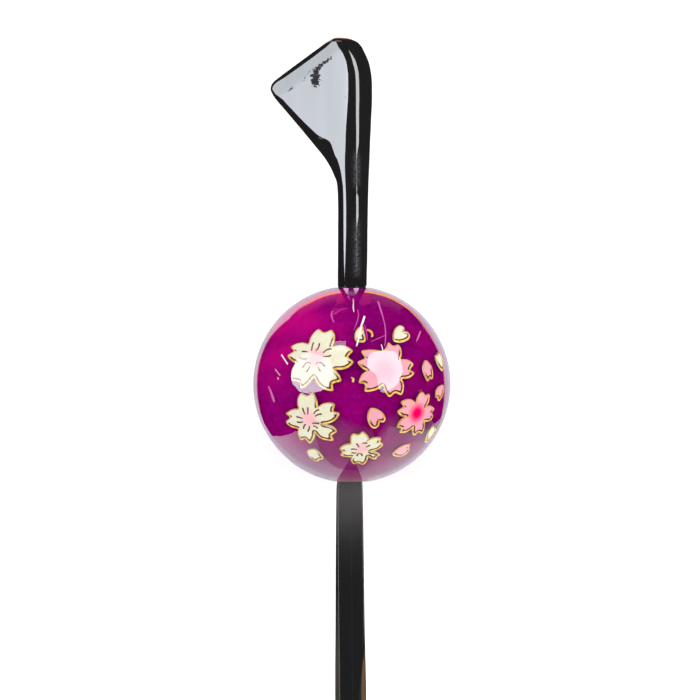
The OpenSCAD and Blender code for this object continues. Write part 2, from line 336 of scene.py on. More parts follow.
# %% [markdown]
# The leg. It leaves the ball narrower than the neck, widens a little over its length and ends in a
# flattened round tip. Its upper side has one faint ridge, its lower side is flat. The slope under
# the tip is what lies on the table, so it is worked out from the lean. A row gives the middle, the
# half width and the heights above and below, and then, as shares of these, how far out the two
# shoulders are and how high the two side edges are.
# %% Sections of the leg
LEG_W = 3.15
LEG_TOP = 1.2
LEG_BOTTOM = 1.12
TIP_SLOPE_L = 11.0
TIP_ROUND_L = 1.4
TIP_W = 2.1
TIP_TOP = 0.55
SLOPE_START = TIP + TIP_SLOPE_L
ROUND_START = TIP + TIP_ROUND_L
ROUND_BOTTOM = LEG_BOTTOM - (SLOPE_START - ROUND_START) * math.tan(lean)
LEG_END = -9.8
LEG_COLUMNS = ("along", "middle", "half", "up", "down", "shoulder_l", "shoulder_r", "low_l", "low_r")
LEG_ROWS = [
    (ROUND_START, 0, TIP_W / 2, TIP_TOP, ROUND_BOTTOM, 0.62, 0.62, 0.4, 0.4),
    (SLOPE_START, 0, LEG_W / 2 - 0.08, LEG_TOP - 0.1, LEG_BOTTOM, 0.65, 0.63, 0.53, 0.36),
    (-100, 0, LEG_W / 2, LEG_TOP - 0.05, LEG_BOTTOM, 0.65, 0.63, 0.55, 0.37),
    (-50, 0, LEG_W / 2, LEG_TOP, LEG_BOTTOM, 0.65, 0.63, 0.56, 0.37),
    (-31.5, -0.05, 1.59, LEG_TOP, LEG_BOTTOM, 0.66, 0.65, 0.57, 0.37),
    (-24, -0.07, 1.52, LEG_TOP, LEG_BOTTOM, 0.74, 0.93, 0.66, 0.86),
    (-14, -0.1, 1.42, LEG_TOP + 0.04, LEG_BOTTOM, 0.82, 0.94, 0.76, 0.88),
    (-10.6, -0.1, 1.36, LEG_TOP + 0.06, LEG_BOTTOM, 0.85, 0.94, 0.8, 0.88),
    (LEG_END, -0.1, 1.3, LEG_TOP + 0.04, LEG_BOTTOM - 0.02, 0.84, 0.93, 0.76, 0.8),
]
RIDGE = 0.25


def leg_section(along):
    """Twelve corners and their roundings, in the same order. Towards the tip they all draw together."""
    at = columns_at(LEG_COLUMNS, LEG_ROWS, max(along, ROUND_START))
    half, up, down = at["half"], at["up"], at["down"]
    shrink = 1.0
    if along < ROUND_START:
        shrink = math.sqrt(1 - min(1.0, (ROUND_START - along) / TIP_ROUND_L) ** 2)
    elif along <= SLOPE_START:
        down = LEG_BOTTOM - (SLOPE_START - along) * math.tan(lean)
    half, up, down = half * shrink, up * shrink, down * shrink
    ridge = RIDGE * half / (LEG_W / 2)
    ring = [
        (-half, at["low_l"] * up, 0.08),
        (-at["shoulder_l"] * half, 0.93 * up, 0.015),
        (ridge - 0.03, up, 0.02),
        (ridge + 0.03, up, 0.02),
        (at["shoulder_r"] * half, 0.93 * up, 0.03),
        (half, at["low_r"] * up, 0.08),
        (0.84 * half, -0.35 * down, 0.1),
        (0.72 * half, -down, 0.12),
        (0.3 * half, -down, 0.02),
        (-0.3 * half, -down, 0.02),
        (-0.74 * half, -down, 0.12),
        (-0.95 * half, -0.35 * down, 0.1),
    ]
    return [(at["middle"] + x, z, reach * shrink) for x, z, reach in ring]


# %% Round the corners of a section and join the sections into one skin
ROUND_STEPS = 5
FLAT_STEPS = [3, 40, 3, 3, 3, 3, 3, 3, 3, 40, 3, 3]
RING_SIZE = sum(FLAT_STEPS) + ROUND_STEPS * len(FLAT_STEPS)
HEAD_CAP = 35.1
STRETCHES = [
    (ROUND_START, SLOPE_START, 0.8),
    (SLOPE_START, -16, 1.2),
    (-16, -11, 0.5),
    (-11, LEG_END, 0.2),
    (LEG_END, 0, 2.4),
    (0, 9.6, 2.4),
    (9.6, 34.2, 0.16),
    (34.2, HEAD_CAP, 0.1),
]


def rounded(section):
    """Points along a section: each corner is a short curve, each side is cut into equal lengths."""
    ends = []
    for i, (x, z, reach) in enumerate(section):
        corner = Vector((x, z))
        before = Vector(section[i - 1][:2]) - corner
        after = Vector(section[(i + 1) % len(section)][:2]) - corner
        a = corner + before.normalized() * min(reach, 0.45 * before.length)
        b = corner + after.normalized() * min(reach, 0.45 * after.length)
        ends.append((a, corner, b))
    points = []
    for i, (a, corner, b) in enumerate(ends):
        for k in range(ROUND_STEPS + 1):
            t = k / ROUND_STEPS
            points.append((1 - t) ** 2 * a + 2 * t * (1 - t) * corner + t * t * b)
        next_a = ends[(i + 1) % len(ends)][0]
        points += [b.lerp(next_a, k / FLAT_STEPS[i]) for k in range(1, FLAT_STEPS[i])]
    return points


def section_at(along):
    """The leg's section, the neck's or head's, or inside the ball the blend of the two."""
    if along <= LEG_END:
        return leg_section(along)
    if along >= 0:
        return head_section(along)
    t = 1 - along / LEG_END
    return [
        tuple(a + (b - a) * t for a, b in zip(p, q))
        for p, q in zip(leg_section(LEG_END), head_section(0))
    ]


def stick_skin():
    """Sections lie close together where the shape or a mark changes fast."""
    tip_turns = [math.radians(a) for a in (5, 14, 24, 36, 50, 66, 80)]
    cap_turns = [math.radians(a) for a in (0, 20, 40, 60, 90)]
    stations = [TIP + TIP_ROUND_L * (1 - math.cos(a)) for a in tip_turns]
    for start, end, step in STRETCHES:
        stations += spread(start, end, step)
    stations += [HEAD_CAP + (HEAD_REACH - HEAD_CAP) * math.sin(a) for a in cap_turns]
    corners = []
    for along in stations:
        corners += [(p.x, along, p.y) for p in rounded(section_at(along))]
    faces = row_faces(len(stations), RING_SIZE)
    faces.append(tuple(reversed(range(RING_SIZE))))
    faces.append(tuple(range(len(corners) - RING_SIZE, len(corners))))
    return corners, faces


stick_corners, stick_faces = stick_skin()

# %% [markdown]
# Black injection-moulded plastic looks black only where it mirrors something dark. Its colour is
# almost nothing, and its looks come from a sharp gloss and faint waves left by the mould. Some marks
# are painted light: grey beside the ball is a painted reflection with some dust too, the leg's lighter
# left edge and ridge are a painted sheen, and the lighter ridge on the neck is a painted highlight.
# Use has left one smudge on the blade. Most of the gloss is a coat, so that marks can take it away.
# Each mark is a number on every corner. The smudge is a row of spots, each with its x, its place along
# the stick, its reach and its darkness.
# %% Where the marks are
SMUDGE = [
    (-2.0, 33.15, 0.14, 0.9), (-2.3, 32.95, 0.17, 1), (-2.65, 32.72, 0.2, 1), (-3.0, 32.45, 0.26, 1),
    (-3.3, 32.15, 0.33, 1), (-3.6, 31.8, 0.36, 1), (-3.78, 31.4, 0.4, 0.9), (-3.6, 31.0, 0.5, 1.1),
    (-3.62, 30.75, 0.5, 1), (-4.3, 31.85, 0.12, 0.7), (-4.5, 31.55, 0.12, 0.7), (-4.7, 31.2, 0.12, 0.7),
    (-4.85, 30.9, 0.12, 0.6), (-6.4, 29.85, 0.13, 0.8), (-6.15, 30.05, 0.13, 0.8),
    (-5.9, 30.25, 0.13, 0.7), (-0.4, 29.15, 0.14, 0.7),
]
BLADE_START = 20
TOP_EDGE = (Vector((-8.2, 30.6)), Vector((-2.2, 35.05)))
BLADE_WEAR = 0.13
BAND_WEAR = 0.15
# Reaches of the painted grey reflection beside the ball and of the painted highlight on the neck's
# ridge.
DUST_AND_SHEEN_REACH = 4.8
RIDGE_HIGHLIGHT_MIDDLE = 0.66
RIDGE_HIGHLIGHT_HALF = 0.27
LEFT_EDGE_CORNERS = range(3, 9)
RIDGE_CORNERS = range(57, 63)


def fading(distance, reach):
    """1 at no distance, falling like a bell to almost nothing at twice the reach."""
    return math.exp(-((distance / reach) ** 2))


def dust_and_sheen_at(x, along, z):
    """Most right under the ball, none a centimetre away. The grey is a painted reflection, with some
    dust.
    """
    below = LEG_END - along
    return fading(below, DUST_AND_SHEEN_REACH) if below >= 0 else 0.0


def ridge_highlight_at(x, along, z):
    """Two stretches of the ridge on the neck's right, made lighter as a painted highlight."""
    lower = ramp(along, 10.7, 11.5) * ramp(along, 17.2, 15.5)
    upper = ramp(along, 19.8, 20.6) * ramp(along, 24, 22.8)
    return max(lower, upper) * fading(x - RIDGE_HIGHLIGHT_MIDDLE, RIDGE_HIGHLIGHT_HALF) if z > 0 else 0.0


def mirror_at(x, along, z):
    """The blade's gloss is a little worn, and more so in a band beside its top edge."""
    start, end = TOP_EDGE
    side = (end - start).normalized()
    inward = (Vector((x, along)) - start).dot(Vector((side.y, -side.x)))
    worn = BLADE_WEAR + BAND_WEAR * ramp(inward, 1.9, 1.25)
    return 1 - worn * ramp(along, 19, 22) * ramp(x, -0.2, -0.6) if z > 0 else 1.0


def smudge_at(x, along, z):
    """The darkest of the spots that reach a corner of the blade's upper side."""
    if along < BLADE_START or z < 0.2:
        return 0.0
    return max(dark * fading(math.hypot(x - a, along - b), reach) for a, b, reach, dark in SMUDGE)


def edge_sheen_at(number, along):
    """The leg's left edge is painted lighter some way below the ball, and its ridge a little all along:
    a painted sheen.
    """
    if number % RING_SIZE in LEFT_EDGE_CORNERS:
        return ramp(along, -21, -27)
    return 0.3 * ramp(along, -10, -12) if number % RING_SIZE in RIDGE_CORNERS else 0.0


marks = {
    "dust_and_sheen": [dust_and_sheen_at(*corner) for corner in stick_corners],
    "ridge_highlight": [ridge_highlight_at(*corner) for corner in stick_corners],
    "mirror": [mirror_at(*corner) for corner in stick_corners],
    "smudge": [smudge_at(*corner) for corner in stick_corners],
    "edge_sheen": [edge_sheen_at(number, corner[1]) for number, corner in enumerate(stick_corners)],
}
for key, values in marks.items():
    print(f"{key}: from {min(values):.2f} to {max(values):.2f}")


# %% The black plastic
BLACK = (0.011, 0.0105, 0.011)
# The three colours after BLACK paint light: a grey reflection beside the ball with some dust, a sheen on
# the leg's edges, and a highlight on the neck's ridge.
DUSTY_SHEEN = (0.072, 0.069, 0.07)
EDGE_SHEEN_GREY = (0.055, 0.05, 0.044)
RIDGE_HIGHLIGHT_GREY = (0.085, 0.086, 0.095)
BUMP_H = 0.00003


def black_plastic():
    tree, dress = new_finish("black_plastic")
    waves = spots(tree, 260, (1, 0.35, 1), detail=1.0)
    wrinkles = spots(tree, 3800, (1, 1.6, 1), detail=2.0, seed=8.0)
    grain = spots(tree, 2600, (1, 0.3, 1), detail=4.0, seed=3.0)
    pits = spots(tree, 4200, detail=4.0, rough=0.6, seed=1.0)
    clouds = spots(tree, 420, (1, 0.6, 1), detail=4.0, seed=5.0)
    streaks = spots(tree, 700, (1, 0.12, 1), detail=3.0, seed=6.0)
    keys = ("dust_and_sheen", "edge_sheen", "ridge_highlight", "mirror", "smudge")
    dust_and_sheen, edge_sheen, ridge_highlight, mirror, smudge = (attribute(tree, key) for key in keys)
    # Painted reflection: the leg turns grey beside the ball, mixed with some dust.
    colour = mix(tree, dust_and_sheen * (0.75 + clouds * 0.5), BLACK, DUSTY_SHEEN)
    # Painted sheen: the leg's left edge and ridge are made lighter.
    colour = mix(tree, edge_sheen * clouds.above(0.25, 0.5) * 0.8, colour, EDGE_SHEEN_GREY)
    # Painted highlight: the neck's ridge turns a lighter bluish grey where its long highlight fades out.
    colour = mix(tree, ridge_highlight * wrinkles.above(0.25, 0.7), colour, RIDGE_HIGHLIGHT_GREY)
    dark = (smudge + (pits - 0.5) * 2.4).above(0.38, 0.6) * smudge.above(0.03, 0.25)
    height = waves + grain * 0.02 + dark * pits * 2.5 + ridge_highlight * wrinkles * 0.6
    return dress(
        Base_Color=colour,
        Roughness=0.045 + grain * 0.04 + dust_and_sheen * 0.05 + dark * 0.1,
        Specular_IOR_Level=0.05,
        Coat_Weight=mirror * (0.88 + streaks * 0.24) * (1 - dark),
        Coat_IOR=1.6,
        Coat_Roughness=0.045,
        Normal=bump(tree, height, BUMP_H),
    )


stick = make_piece(
    "hair_stick_moulding",
    stick_corners,
    stick_faces,
    black_plastic(),
    "black_plastic",
    node="hair_stick",
    attributes=marks,
)
weighted = stick.modifiers.new("flat_faces", "WEIGHTED_NORMAL")
weighted.weight = 80

# %% [markdown]
# The ball is clear acrylic cast round a purple core. A clear ball is a strong lens, so the core looks
# larger than it is and its purple reaches the ball's very outline. A renderer shows that only if the
# ball is one solid piece of glass with the core inside it and no air between them, so the skin here is
# the outer sphere and the wall of the drilled hole, and nothing else.
# %% The clear ball
HOLE_R = 1.65
HOLE_EDGE = 0.12


def turned(profile, turns):
    """The skin that a closed profile of (radius, along) points makes when it turns round the stick."""
    corners = []
    for radius, along in profile:
        for k in range(turns):
            a = 2 * math.pi * k / turns
            corners.append((radius * math.sin(a), along, radius * math.cos(a)))
    return corners, row_faces(len(profile), turns, loop=True, flipped=True)


def drilled_ball(radius, hole, edge, steps):
    """Profile of a ball with a hole: over the outside, round the hole's edge, and back through it."""
    start = math.asin((hole + edge) / radius)
    outside = []
    for k in range(steps + 1):
        a = start + (math.pi - 2 * start) * k / steps
        outside.append((radius * math.sin(a), radius * math.cos(a)))
    reach = radius * math.cos(start)
    bottom = (hole + 0.3 * edge, -reach)
    top = (hole + 0.3 * edge, reach)
    wall = [(hole, (edge - reach) * (1 - k / 6)) for k in range(13)]
    return outside + [bottom] + wall + [top]


def clear_acrylic():
    _, dress = new_finish("clear_acrylic")
    return dress(
        Base_Color=(0.955, 0.93, 0.975),
        Roughness=0.02,
        IOR=1.49,
        Transmission_Weight=1.0,
    )


ball_corners, ball_faces = turned(drilled_ball(BALL_R, HOLE_R, HOLE_EDGE, 128), 192)
make_piece(
    "clear_ball", ball_corners, ball_faces, clear_acrylic(), "clear_acrylic", node="bead_shell"
)

# %% [markdown]
# The core is coloured with streaks that run round it, and painted light makes it brighter towards its
# upper left. It is a second drilled ball. Its hole is a hair wider than the ball's, so that no two skins
# lie in one place.
# %% The purple core
CORE_R = 9.3
CORE_GAP = 0.02
LIT_SIDE = Vector((-0.6, 0.68, 0.42))
PURPLE = (0.235, 0.0, 0.15)
STREAK_PURPLE = (0.35, 0.0, 0.18)
LIT_MAGENTA = (0.62, 0.002, 0.22)
GRAIN_PURPLE = (0.46, 0.012, 0.32)


def purple_core():
    tree, dress = new_finish("purple_core")
    streaks = spots(tree, 330, (0.35, 2.2, 0.6), detail=6.0, rough=0.65)
    clouds = spots(tree, 150, (0.7, 1.4, 1), detail=3.0, seed=9.0)
    grain = spots(tree, 2300, detail=3.0, seed=6.0)
    lit = attribute(tree, "lit").above(0.55, 1.0)
    colour = mix(tree, streaks.above(0.3, 0.7), PURPLE, STREAK_PURPLE)
    # Painted light: brighter magenta towards the core's upper left.
    colour = mix(tree, clouds.above(0.4, 0.65) * (0.15 + lit * 0.85), colour, LIT_MAGENTA)
    colour = mix(tree, grain.above(0.45, 0.75) * 0.35, colour, GRAIN_PURPLE)
    return dress(Base_Color=colour, Roughness=0.5, Specular_IOR_Level=0.0)


core_profile = drilled_ball(CORE_R, HOLE_R + CORE_GAP, CORE_GAP, 96)
core_corners, core_faces = turned(core_profile, 160)
make_piece(
    "purple_core",
    core_corners,
    core_faces,
    purple_core(),
    "purple_core",
    node="bead_core",
    attributes={"lit": [LIT_SIDE.dot(corner) / CORE_R for corner in core_corners]},
)

# %% [markdown]
# The print is cherry blossom, an old pattern. Each blossom has five notched petals, and loose petals
# drift between them. The five blossoms and nine petals that the photo shows are drawn after it, in
# millimetres on a flat sheet, x to the right and y towards the head. A blossom's petal has six points:
# its cleft, side, tip, notch, tip and side. A loose petal starts at its pointed end, and its notch is
# half way along its list.
# %% Drawings of the blossoms
BLOSSOM_SHAPES = {
    "A": [
        (2.05, -1.09), (3.14, -0.95), (3.85, -0.17), (3.18, 0.27), (3.69, 0.97), (2.59, 1.45),
        (1.53, 1.2), (1.68, 2.25), (1.17, 3.11), (0.46, 2.7), (-0.2, 3.19), (-0.83, 2.45),
        (-0.98, 1.46), (-2, 1.69), (-3.16, 1.28), (-2.5, 0.81), (-3.36, 0.42), (-2.87, -0.13),
        (-2.16, -0.49), (-2.62, -1.22), (-2.59, -2.24), (-1.73, -2.32), (-1.5, -3.06), (-0.72, -2.69),
        (-0.04, -1.87), (0.69, -2.93), (1.99, -3.25), (1.84, -2.51), (2.76, -2.24), (2.54, -1.63),
    ],
    "B": [
        (1.79, -0.76), (2.78, -0.63), (3.38, -0.09), (2.82, 0.16), (3.33, 0.76), (2.66, 1.18),
        (1.77, 1.18), (2.05, 1.99), (1.77, 2.77), (1.16, 2.56), (0.67, 2.98), (0.4, 2.48),
        (-0.04, 2), (-1.21, 2.2), (-2.29, 2.08), (-1.88, 1.32), (-2.72, 1), (-2.37, 0.41),
        (-1.8, 0.03), (-2.36, -0.36), (-2.69, -1.15), (-2.01, -1.27), (-2.12, -2.03), (-1.07, -1.94),
        (-0.21, -1.45), (-0.05, -2.04), (0.54, -2.65), (1.11, -2.15), (1.84, -2.44), (2.09, -1.52),
    ],
    "C": [
        (1.31, -0.6), (2.48, -0.43), (3.26, 0.41), (2.59, 0.66), (2.92, 1.39), (1.98, 1.59),
        (1.08, 1.2), (1.06, 1.94), (0.65, 2.68), (0.01, 2.33), (-0.66, 2.64), (-1.14, 1.88),
        (-1.06, 0.99), (-1.89, 0.9), (-2.8, 0.38), (-2.24, 0.07), (-2.97, -0.5), (-2.43, -0.99),
        (-1.51, -1.14), (-1.73, -1.83), (-1.53, -2.52), (-0.96, -2.23), (-0.61, -2.87), (0.09, -2.17),
        (0.34, -1.45), (0.83, -2.24), (2.1, -2.55), (1.97, -1.89), (2.66, -1.58), (2.29, -0.9),
    ],
    "D": [
        (0.9, -0.43), (1.66, -0.27), (2.17, 0.35), (1.74, 0.71), (1.91, 1.15), (1.2, 1.3),
        (0.59, 1.05), (0.45, 1.55), (-0.12, 2.06), (-0.51, 1.64), (-1.04, 1.77), (-1.28, 1.24),
        (-1.17, 0.54), (-1.78, 0.34), (-2.3, -0.31), (-1.9, -0.56), (-2.12, -1.09), (-1.49, -1.31),
        (-0.97, -1.19), (-0.96, -1.82), (-0.56, -2.37), (-0.17, -2.06), (0.27, -2.49), (0.67, -1.88),
        (0.74, -1.1), (1.04, -1.47), (1.66, -1.66), (1.6, -1.3), (1.98, -1.16), (1.6, -0.67),
    ],
    "E": [
        (1.42, -0.94), (2.31, -0.93), (2.68, -0.42), (2.25, -0.03), (2.69, 0.28), (1.95, 0.69),
        (1.11, 0.63), (1.49, 1.2), (1.48, 1.97), (0.88, 1.75), (0.46, 2.19), (-0.22, 1.71),
        (-0.35, 1.03), (-1.25, 1.42), (-2.27, 1.08), (-1.79, 0.6), (-2.48, 0.15), (-1.96, -0.34),
        (-1.26, -0.43), (-1.88, -0.79), (-2.08, -1.62), (-1.44, -1.65), (-1.55, -2.21), (-0.63, -2.05),
        (-0.04, -1.56), (0.05, -2.03), (0.57, -2.55), (0.91, -2.07), (1.65, -2.33), (1.73, -1.62),
    ],
}

# %% Drawings of the loose petals
PETAL_SHAPES = {
    "a": [(0.03, 1.13), (-0.75, 0.35), (-0.88, -0.46), (-0.63, -0.85), (0.18, -0.82), (0.13, 0.09)],
    "b": [
        (-1.22, -0.86), (-0.39, -1.04), (0.59, -0.72), (0.96, -0.27), (0.84, 0.13),
        (0.34, 0.23), (0.57, 0.69), (0.18, 0.96), (-0.53, 0.63), (-1.11, -0.18),
    ],
    "c": [(-0.4, 1.08), (-0.97, 0.03), (-0.46, -1.1), (-0.01, -0.77), (0.48, -0.82), (0.47, 0.33)],
    "d": [(0.1, -1.16), (0.73, -0.25), (0.24, 0.83), (-0.47, 0.47), (-0.95, 0.5), (-0.83, -0.41)],
    "e": [(0.59, 0.82), (-0.87, 0.39), (-0.97, -0.44), (-0.55, -0.51), (-0.14, -0.88), (0.63, -0.09)],
    "f": [
        (-0.8, 1.14), (-1.04, 0.25), (-0.71, -0.65), (-0.2, -1.03), (0.25, -0.76),
        (0.27, -0.26), (0.78, -0.31), (0.88, 0.15), (0.53, 0.68), (-0.13, 1.1),
    ],
    "g": [(-0.18, -1.19), (0.73, -0.54), (0.89, 0.5), (0.28, 0.54), (-0.37, 0.86), (-0.82, 0.06)],
    "h": [(-1.06, -0.64), (0.4, -0.92), (1.06, -0.13), (0.65, 0.33), (0.54, 0.84), (-0.58, 0.45)],
    "i": [(-0.71, 0.53), (-0.7, -0.35), (-0.19, -1.06), (0.29, -0.68), (0.9, -0.47), (0.53, 0.77)],
}

# %% [markdown]
# A row holds a motif's latitude towards the head and its longitude round the stick, in degrees, its
# scale, its turn and its drawing. Those on the ball's back, which the photo can't show, use the same
# drawings turned.
# %% Places of the blossoms and petals
CREAM_BLOSSOMS = [
    (15.6, -14.9, 1, 0, "A"),
    (-19.7, -19.8, 1, 0, "C"),
    (-39.3, 14.6, 1, 0, "D"),
    (-14, 128, 0.9, 37, "A"),
    (27, 171, 0.93, -3, "C"),
    (4, -138, 1.25, -31, "D"),
]
PINK_BLOSSOMS = [
    (8, 26.3, 1, 0, "B"),
    (-16.4, 49.7, 1, 0, "E"),
    (24, 124, 0.85, 18, "B"),
    (-36, 168, 0.97, 52, "E"),
]
CREAM_PETALS = [
    (30.5, 14.5, 1, 0, "a"),
    (31, 42.5, 1, 0, "b"),
    (14, 73.5, 1, 0, "d"),
    (-29.5, 73, 1, 0, "g"),
    (-44.5, -25, 1, 0, "i"),
    (46, 146, 1, 50, "i"),
    (-40, 132, 1.05, 95, "b"),
    (24, -152, 0.91, -15, "f"),
]
PINK_PETALS = [
    (8.5, 58.5, 1, 0, "c"),
    (-4.5, 70.5, 1, 0, "e"),
    (-20, 22.5, 1, 0, "f"),
    (-41, 49, 1, 0, "h"),
    (4, 110, 0.95, -30, "d"),
    (6, 150, 0.91, -70, "c"),
    (-22, -158, 0.95, 75, "h"),
]


def on_ball(row, point, height):
    """A flat point of a motif, laid on the ball and raised by a height."""
    latitude, longitude, scale, turn = row[:4]
    flat = Vector((point[0] * scale, point[1] * scale, 0))
    flat.z = math.sqrt(max(0.0, BALL_R**2 - flat.x**2 - flat.y**2))
    flat *= (BALL_R + height) / BALL_R
    turned_flat = Matrix.Rotation(math.radians(turn), 3, "Z") @ flat
    tilted = Matrix.Rotation(math.radians(-latitude), 3, "X") @ turned_flat
    return Matrix.Rotation(math.radians(longitude), 3, "Y") @ tilted


# %% [markdown]
# The few points of a drawing are joined by smooth curves, and by straight lines at the notches. Then
# each place moves a little towards its neighbours, which takes the hardness off the tips.
# %% Outlines from the drawings
def curve(points, steps=5):
    """Places along a smooth line through the points, but for the last of them."""
    points = [Vector(point) for point in points]
    if len(points) == 2:
        return [points[0].lerp(points[1], k / steps) for k in range(steps)]
    first = 3 * points[0] - 3 * points[1] + points[2]
    last = 3 * points[-1] - 3 * points[-2] + points[-3]
    points = [first] + points + [last]
    line = []
    for a, b, c, d in zip(points, points[1:], points[2:], points[3:]):
        for k in range(steps):
            t = k / steps
            bend = t * t * (2 * a - 5 * b + 4 * c - d) + t**3 * (3 * b - a - 3 * c + d)
            line.append((2 * b + t * (c - a) + bend) / 2)
    return line


def softened(outline):
    """Each place, moved a quarter of the way towards each of its neighbours."""
    after = outline[1:] + outline[:1]
    return [outline[i - 1] / 4 + point / 2 + after[i] / 4 for i, point in enumerate(outline)]


def blossom_outline(drawing):
    """Five petals, each from its cleft over its tip, notch and second tip to the next cleft."""
    outline = []
    for k in range(0, len(drawing), 6):
        cleft, side, tip, notch, far_tip, far_side = drawing[k : k + 6]
        next_cleft = drawing[(k + 6) % len(drawing)]
        outline += curve([cleft, side, tip]) + curve([tip, notch], 4)
        outline += curve([notch, far_tip], 4) + curve([far_tip, far_side, next_cleft])
    return softened(outline)


def petal_outline(drawing):
    """From the petal's point round to the notch between its two lobes, and on round to the point."""
    half = len(drawing) // 2
    return softened(curve(drawing[: half + 1]) + curve(drawing[half:] + drawing[:1]))


# %% [markdown]
# A petal's skin is built from its middle outwards in rings that keep the outline's shape, so that the
# edge is exact and the colours can follow it. Each corner remembers how far it is from the edge, how
# much that edge faces the lower right, where a dark inner line lies, and how far it is from the
# blossom's heart. One drawing's heart is hot pink, and its corners remember that too.
# %% Skins of the petals
PETAL_RISE = 0.09
PETAL_SINK = 0.01
RINGS = (0.12, 0.25, 0.38, 0.5, 0.6, 0.68, 0.75, 0.81, 0.86, 0.9, 0.93, 0.96)
SHOULDER_RING = 0.985
SHADE_SIDE = Vector((0.35, -0.94))
HOT_DRAWING = "E"


def shades(row, outline):
    """How much each part of an outline faces the lower right, from -1 to 1."""
    spin = Matrix.Rotation(math.radians(row[3]), 2)
    values = []
    for i in range(len(outline)):
        along = outline[(i + 1) % len(outline)] - outline[i - 1]
        values.append((spin @ Vector((along.y, -along.x)).normalized()).dot(SHADE_SIDE))
    return values


class Skin:
    """Corners, faces and attributes that motifs add to, until they make one piece."""

    def __init__(self, *keys):
        self.corners, self.faces = [], []
        self.values = {key: [] for key in keys}

    def add(self, corners, faces, **values):
        first = len(self.corners)
        self.corners += corners
        self.faces += [tuple(first + i for i in face) for face in faces]
        for key, numbers in values.items():
            self.values[key] += numbers


def distance_to(outline, point):
    """How far a point is from the nearest place on an outline."""
    gaps = []
    for i, b in enumerate(outline):
        a = outline[i - 1]
        side = b - a
        t = ramp((point - a).dot(side), 0.0, max(side.length_squared, 1e-12))
        gaps.append((a + side * t - point).length)
    return min(gaps)


def add_petals(skin, row, outline, blossom):
    """One printed motif: a thin raised plate with a rounded edge, closed below."""
    count = len(outline)
    size = max(point.length for point in outline)
    low_sides = shades(row, outline)
    middle = Vector((0, 0))
    corners, edge, shade, heart = [], [], [], []

    def put(point, height, rim, low):
        corners.append(on_ball(row, point, height))
        edge.append(rim)
        shade.append(low)
        heart.append(point.length / size if blossom else 1.0)

    put(middle, PETAL_RISE, distance_to(outline, middle), 0.0)
    heights = [(ring, PETAL_RISE) for ring in RINGS]
    heights += [(SHOULDER_RING, PETAL_RISE * 0.6), (1.0, 0.0)]
    for ring, height in heights:
        for point, low in zip(outline, low_sides):
            put(point * ring, height, distance_to(outline, point * ring), low)
    for point in outline:
        put(point, -PETAL_SINK, 0.0, 0.0)
    put(middle, -PETAL_SINK, 1.0, 0.0)
    bottom = len(corners) - 1
    last = bottom - count
    faces = [(0, 1 + i, 1 + (i + 1) % count) for i in range(count)]
    faces += row_faces(len(heights) + 1, count, flipped=True, first=1)
    faces += [(last + i, bottom, last + (i + 1) % count) for i in range(count)]
    hot = [1.0 if row[4] == HOT_DRAWING else 0.0] * len(corners)
    skin.add(corners, faces, edge=edge, shade=shade, heart=heart, hot=hot)


# %% [markdown]
# The gold line round every motif is a raised bead of ink. It is a half-round strip that follows the
# outline, thin on the upper left and broad on the lower right. At sharp tips the strip is mitred, but
# only so far that it doesn't shoot out.
# %% Strips of ink
LINE_RISE = 0.125
LINE_W = 0.18
LOW_SIDE_W = 0.05
MITRE_LIMIT = 1.5


def strip(row, path, widths, rise, closed):
    """A half-round line of ink: inside the path where that is closed, and over it where it is open."""
    half_round = [(-0.36, 0.8 * rise), (0, rise), (0.36, 0.8 * rise)]
    half_round = [(-0.5, -PETAL_SINK), *half_round, (0.5, -PETAL_SINK)]
    count = len(path)
    corners = []
    for i, point in enumerate(path):
        before = path[i - 1] if closed or i > 0 else point
        after = path[(i + 1) % count] if closed or i < count - 1 else point
        into = (point - before).normalized() if point != before else (after - point).normalized()
        out = (after - point).normalized() if after != point else into
        middle = (into + out).normalized() if (into + out).length > 0.05 else into
        normal = Vector((middle.y, -middle.x))
        mitre = min(MITRE_LIMIT, 1 / max(0.3, abs(normal.dot(Vector((out.y, -out.x))))))
        for across, height in half_round:
            shift = across - 0.5 if closed else across
            corners.append(on_ball(row, point + normal * shift * widths[i] * mitre, height))
    width = len(half_round)
    faces = row_faces(count, width, loop=closed)
    if not closed:
        faces.append(tuple(reversed(range(width))))
        faces.append(tuple(range(len(corners) - width, len(corners))))
    return corners, faces


def stroke(row, points, widths, rise=LINE_RISE):
    """An open line through a few points, as wide at each as the list says."""
    steps = 4
    path = curve(points, steps) + [Vector(points[-1])]
    stations = list(range(len(points)))
    path_widths = [smooth_between(stations, widths, k / steps) for k in range(len(path))]
    return strip(row, path, path_widths, rise, False)


